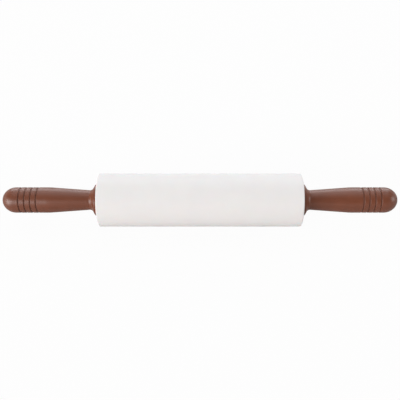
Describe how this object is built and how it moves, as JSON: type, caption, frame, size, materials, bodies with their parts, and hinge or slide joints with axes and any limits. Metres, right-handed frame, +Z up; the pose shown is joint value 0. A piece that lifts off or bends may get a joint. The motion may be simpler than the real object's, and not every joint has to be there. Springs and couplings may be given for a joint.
{
  "type": "silicone rolling pin",
  "caption": "Rolling pin with a silicone-covered barrel that turns on a through axle between two brown ringed plastic handles.",
  "frame": {"origin": "on the axle's axis at the middle of the barrel", "axes": "+X along the axle towards the right handle, +Z up when the barrel lies on a worktop"},
  "size_m": [0.4446, 0.0598, 0.0598],
  "materials": {
    "white_silicone": "matte moulded silicone, slightly warm white",
    "core_plastic": "natural polypropylene tube",
    "white_plastic": "moulded white polypropylene",
    "bush_nylon": "natural nylon",
    "brown_plastic": "satin moulded brown plastic",
    "axle_steel": "drawn stainless steel",
    "fastener_steel": "zinc-plated steel"
  },
  "bodies": {
    "handles": {"axle": "axle_steel", "left_thrust_washer": "axle_steel", "right_thrust_washer": "axle_steel", "left_grip": "brown_plastic", "right_grip": "brown_plastic", "left_grip_dome": "brown_plastic", "right_grip_dome": "brown_plastic", "left_nut_washer": "fastener_steel", "right_nut_washer": "fastener_steel", "left_lock_nut": "fastener_steel", "right_lock_nut": "fastener_steel"},
    "barrel": {"silicone_sleeve": "white_silicone", "core_tube": "core_plastic", "left_end_cap": "white_plastic", "right_end_cap": "white_plastic", "left_bush": "bush_nylon", "right_bush": "bush_nylon"}
  },
  "joints": [
    {"name": "barrel_spin", "type": "hinge", "parent": "handles", "child": "barrel", "pos_m": [0, 0, 0], "axis": [1, 0, 0], "continuous": true}
  ]
}
